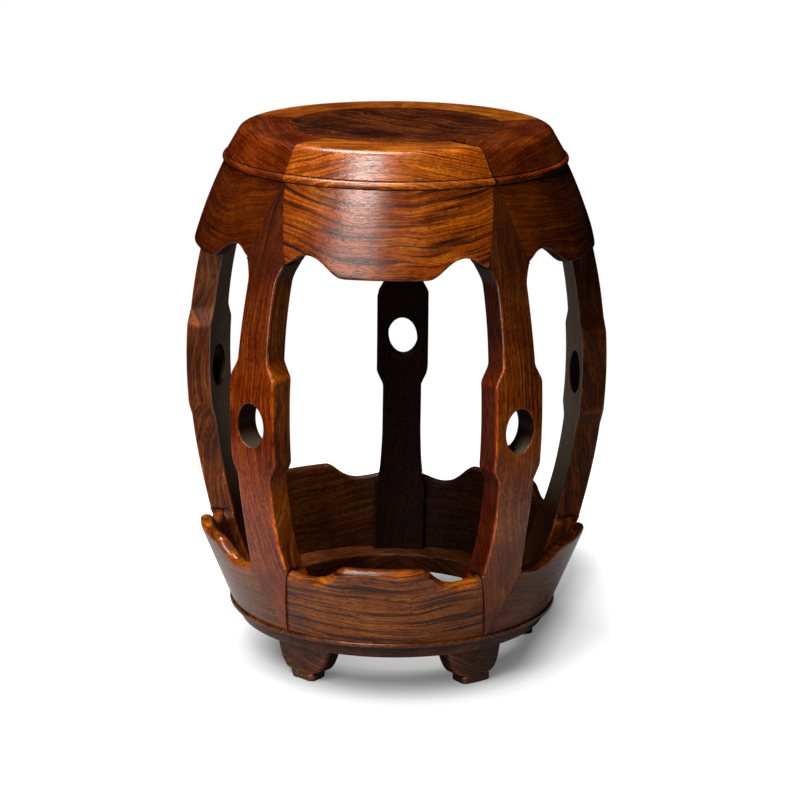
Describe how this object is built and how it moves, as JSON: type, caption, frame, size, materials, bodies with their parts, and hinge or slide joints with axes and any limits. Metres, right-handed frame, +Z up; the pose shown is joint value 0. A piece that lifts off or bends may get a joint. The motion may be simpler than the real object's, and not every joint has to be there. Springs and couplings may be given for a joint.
{
  "type": "drum stool",
  "caption": "Round barrel-shaped hardwood stool with an inset seat panel, bowed posts with oval hand holes, scalloped aprons, a base ring and small feet.",
  "frame": {"origin": "on the floor, in the middle of the stool's outer limits", "axes": "+Z up through the seat; -Y towards the front bay, the one between the two front posts; +X to the right as seen from the front"},
  "size_m": [0.38, 0.3694, 0.475],
  "materials": {
    "burl_hardwood": "dark burr-figured hardwood, waxed and polished",
    "seat_frame_hardwood": "orange-brown hardwood, waxed and polished",
    "apron_hardwood": "red-brown hardwood, waxed and polished",
    "post_hardwood": "red-brown hardwood, waxed and polished",
    "ring_hardwood": "brown hardwood, waxed",
    "foot_hardwood": "dark hardwood, worn, waxed",
    "hidden_hardwood": "plain hardwood, unpolished"
  },
  "bodies": {
    "root": {"seat_panel": "burl_hardwood", "seat_batten": "hidden_hardwood", "seat_frame_1": "seat_frame_hardwood", "seat_frame_2": "seat_frame_hardwood", "seat_frame_3": "seat_frame_hardwood", "seat_frame_4": "seat_frame_hardwood", "seat_frame_5": "seat_frame_hardwood", "seat_key_1": "hidden_hardwood", "seat_key_2": "hidden_hardwood", "seat_key_3": "hidden_hardwood", "seat_key_4": "hidden_hardwood", "seat_key_5": "hidden_hardwood", "upper_apron_1": "apron_hardwood", "upper_apron_2": "apron_hardwood", "upper_apron_3": "apron_hardwood", "upper_apron_4": "apron_hardwood", "upper_apron_5": "apron_hardwood", "post_1": "post_hardwood", "post_2": "post_hardwood", "post_3": "post_hardwood", "post_4": "post_hardwood", "post_5": "post_hardwood", "lower_apron_1": "apron_hardwood", "lower_apron_2": "apron_hardwood", "lower_apron_3": "apron_hardwood", "lower_apron_4": "apron_hardwood", "lower_apron_5": "apron_hardwood", "base_ring_1": "ring_hardwood", "base_ring_2": "ring_hardwood", "base_ring_3": "ring_hardwood", "base_ring_4": "ring_hardwood", "base_ring_5": "ring_hardwood", "ring_key_1": "hidden_hardwood", "ring_key_2": "hidden_hardwood", "ring_key_3": "hidden_hardwood", "ring_key_4": "hidden_hardwood", "ring_key_5": "hidden_hardwood", "foot_1": "foot_hardwood", "foot_2": "foot_hardwood", "foot_3": "foot_hardwood", "foot_4": "foot_hardwood", "foot_5": "foot_hardwood"}
  },
  "joints": []
}
